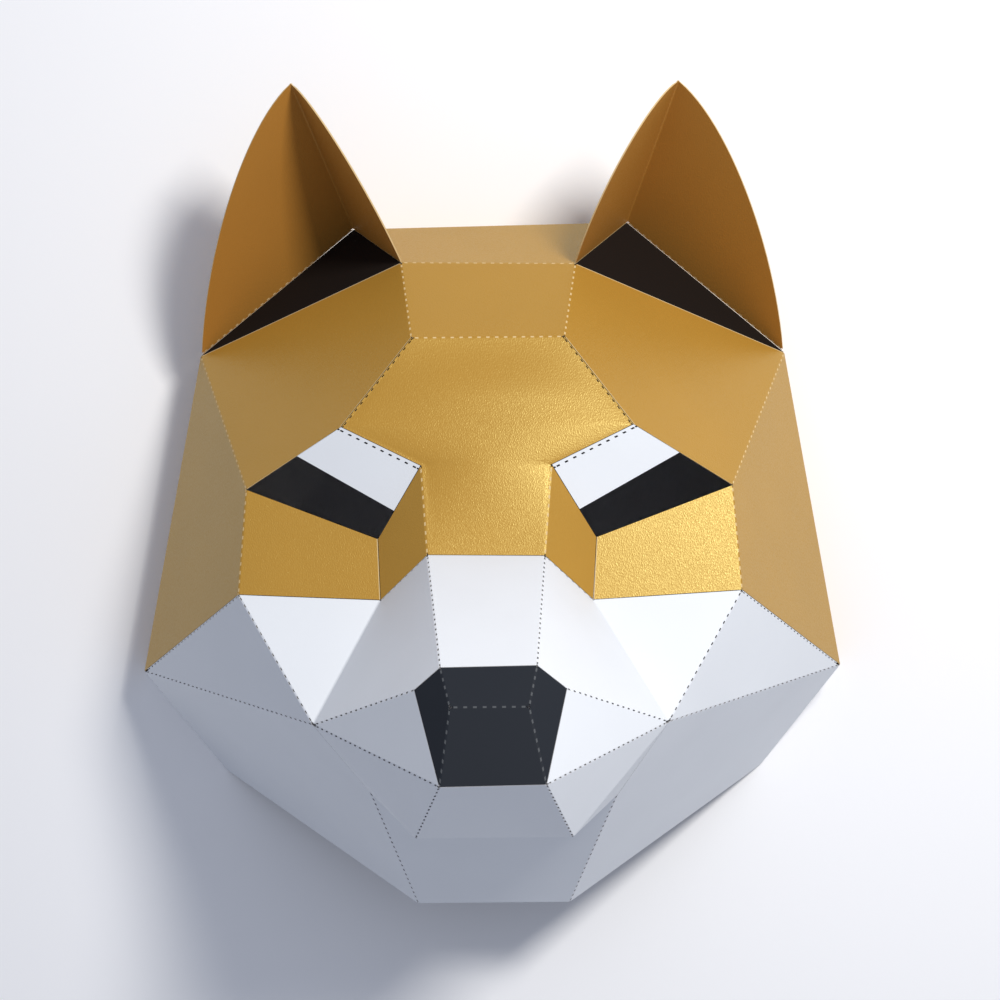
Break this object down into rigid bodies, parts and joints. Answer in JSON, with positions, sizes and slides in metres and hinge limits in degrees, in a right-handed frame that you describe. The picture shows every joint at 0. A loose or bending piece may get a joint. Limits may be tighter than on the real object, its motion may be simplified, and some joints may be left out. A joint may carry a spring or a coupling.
{
  "type": "folded paper animal mask",
  "caption": "Full-face animal mask folded from card in flat facets, with gold head and ears, white muzzle and jaw, black nose and open eyes",
  "frame": {"origin": "On the plane of the back rim, under the middle of the mask's bounding box", "axes": "+Z points out of the face, away from the wearer; +Y points up the face to the ears; +X is the viewer's right as they face the mask"},
  "size_m": [0.256, 0.2906, 0.1808],
  "materials": {
    "gold_card": "pearl lustre",
    "white_card": "matt",
    "black_card": "matt"
  },
  "bodies": {
    "root": {"crown": "gold_card", "brow_band": "gold_card", "forehead": "gold_card", "back_top": "gold_card", "snout_bridge": "white_card", "lip_front": "white_card", "muzzle_underside": "white_card", "chin": "white_card", "nose_top_panel": "black_card", "nose_front_panel": "black_card", "temple_left": "gold_card", "temple_right": "gold_card", "side_left": "gold_card", "side_right": "gold_card", "under_eye_outer_left": "gold_card", "under_eye_outer_right": "gold_card", "under_eye_inner_left": "gold_card", "under_eye_inner_right": "gold_card", "back_side_left": "gold_card", "back_side_right": "gold_card", "back_ear_left": "gold_card", "back_ear_right": "gold_card", "ear_outer_panel_left": "gold_card", "ear_outer_panel_right": "gold_card", "ear_inner_panel_left": "gold_card", "ear_inner_panel_right": "gold_card", "eyelid_left": "white_card", "eyelid_right": "white_card", "snout_side_left": "white_card", "snout_side_right": "white_card", "cheek_front_left": "white_card", "cheek_front_right": "white_card", "cheek_side_left": "white_card", "cheek_side_right": "white_card", "jaw_left": "white_card", "jaw_right": "white_card", "muzzle_side_left": "white_card", "muzzle_side_right": "white_card", "lip_side_left": "white_card", "lip_side_right": "white_card", "muzzle_underside_left": "white_card", "muzzle_underside_right": "white_card", "back_jaw_left": "white_card", "back_jaw_right": "white_card", "nose_side_left": "black_card", "nose_side_right": "black_card", "ear_floor_left": "black_card", "ear_floor_right": "black_card"}
  },
  "joints": []
}
